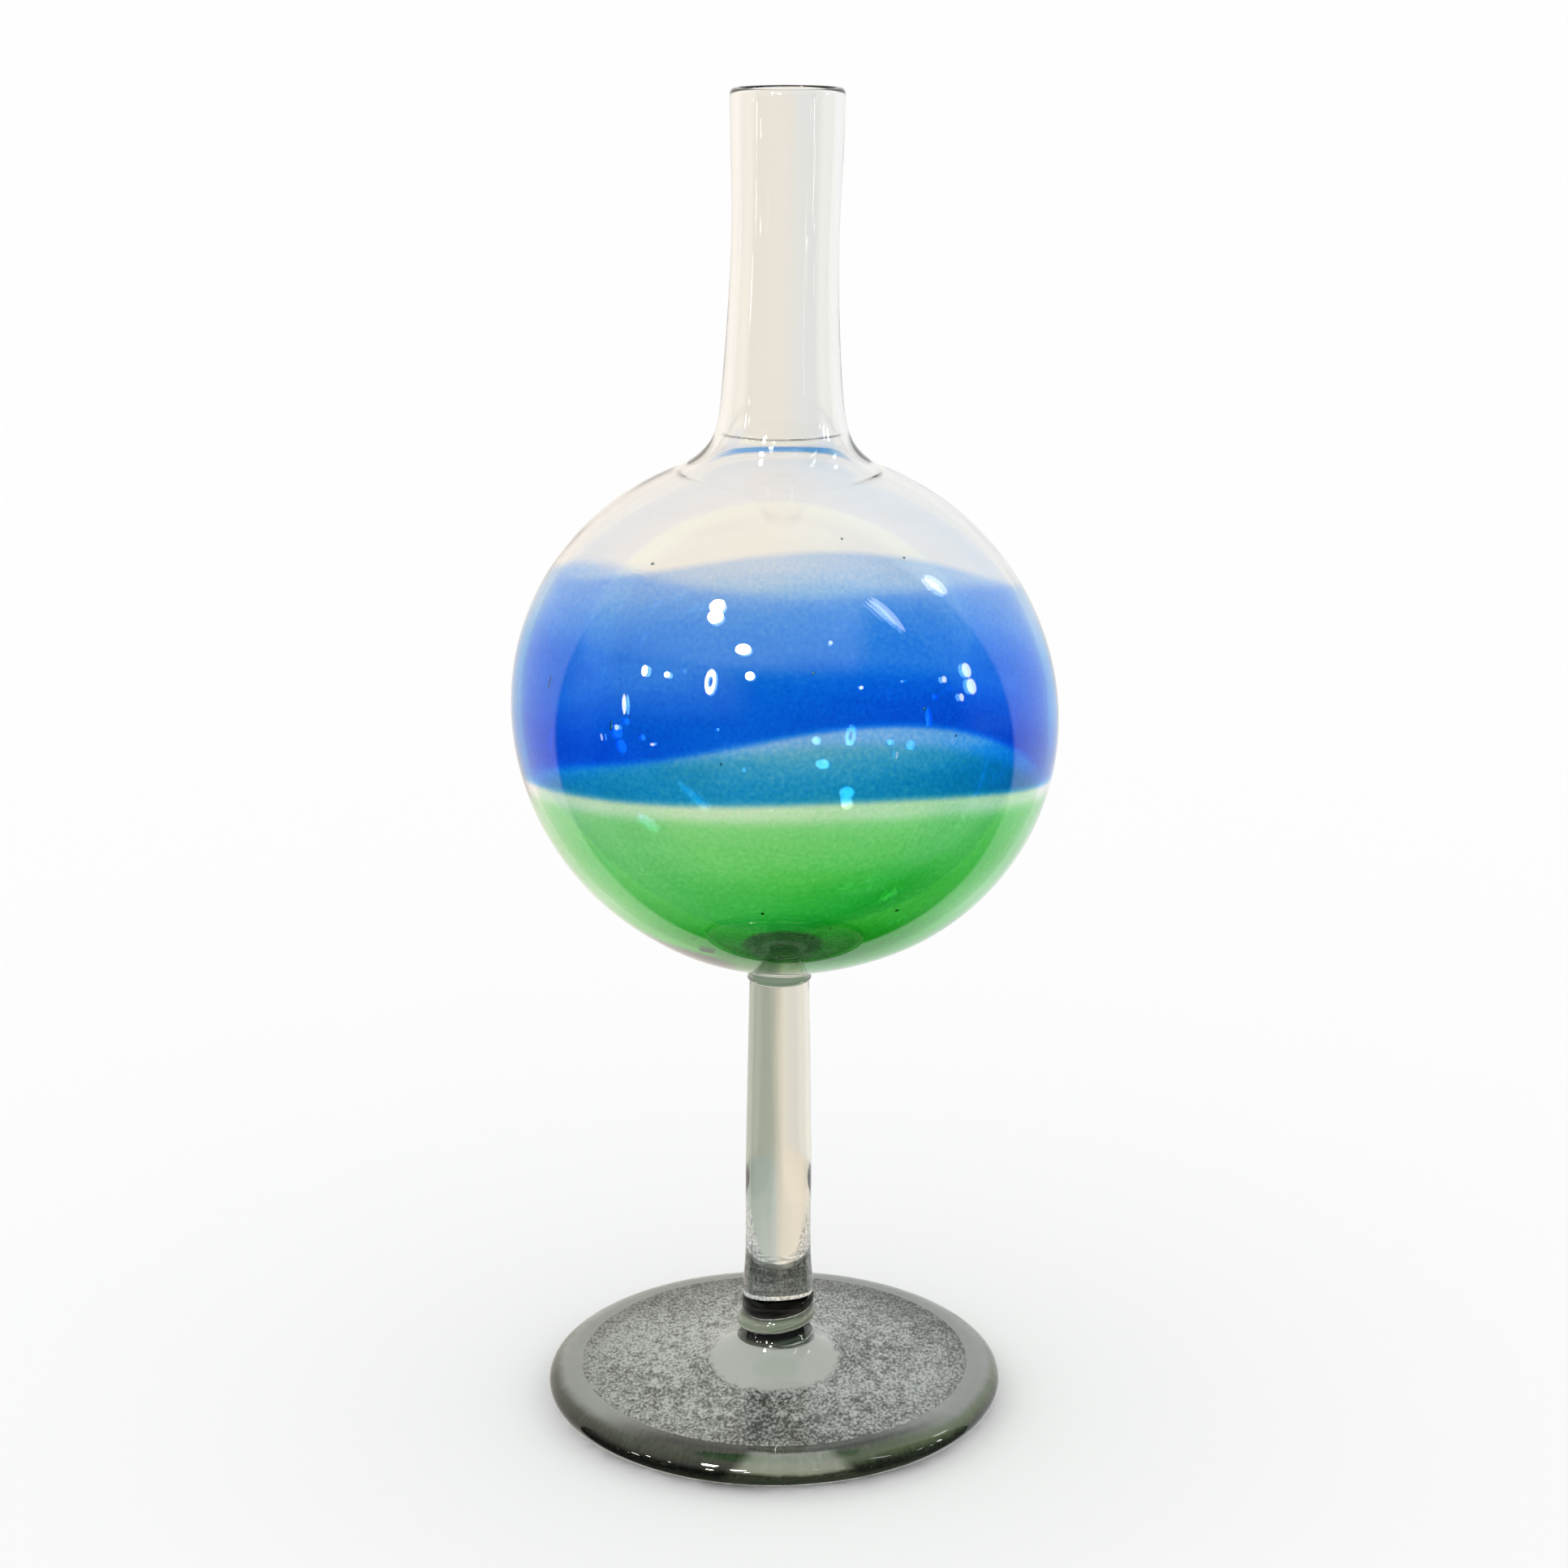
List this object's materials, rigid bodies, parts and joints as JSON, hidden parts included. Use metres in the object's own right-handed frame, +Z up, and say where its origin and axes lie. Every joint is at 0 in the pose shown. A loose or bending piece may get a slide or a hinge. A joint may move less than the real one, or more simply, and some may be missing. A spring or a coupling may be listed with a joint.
{
  "type": "stemmed glass vessel",
  "caption": "Hand-blown open-necked glass vessel: a round bulb with wavy blue and green zones, on a hollow stem and a thick disc foot.",
  "frame": {"origin": "centre of the foot's underside, on the table", "axes": "+Z up along the vessel's axis, from the foot to the mouth; +X to the right seen from the front; -Y towards the viewer, where the seams of the blue and green zones run highest"},
  "size_m": [0.1132, 0.1132, 0.28],
  "materials": {
    "clear_glass": "fire-polished clear glass",
    "blue_glass": "fire-polished cobalt blue glass, paler at its top edge",
    "green_glass": "fire-polished leaf green glass",
    "foot_glass": "clear glass with a faint green cast, grey speckled underneath"
  },
  "bodies": {
    "root": {"neck": "clear_glass", "shoulder": "clear_glass", "blue_band": "blue_glass", "clear_band": "clear_glass", "green_cup": "green_glass", "bulb_collar": "clear_glass", "stem": "clear_glass", "foot_knop": "foot_glass", "foot": "foot_glass"}
  },
  "joints": []
}
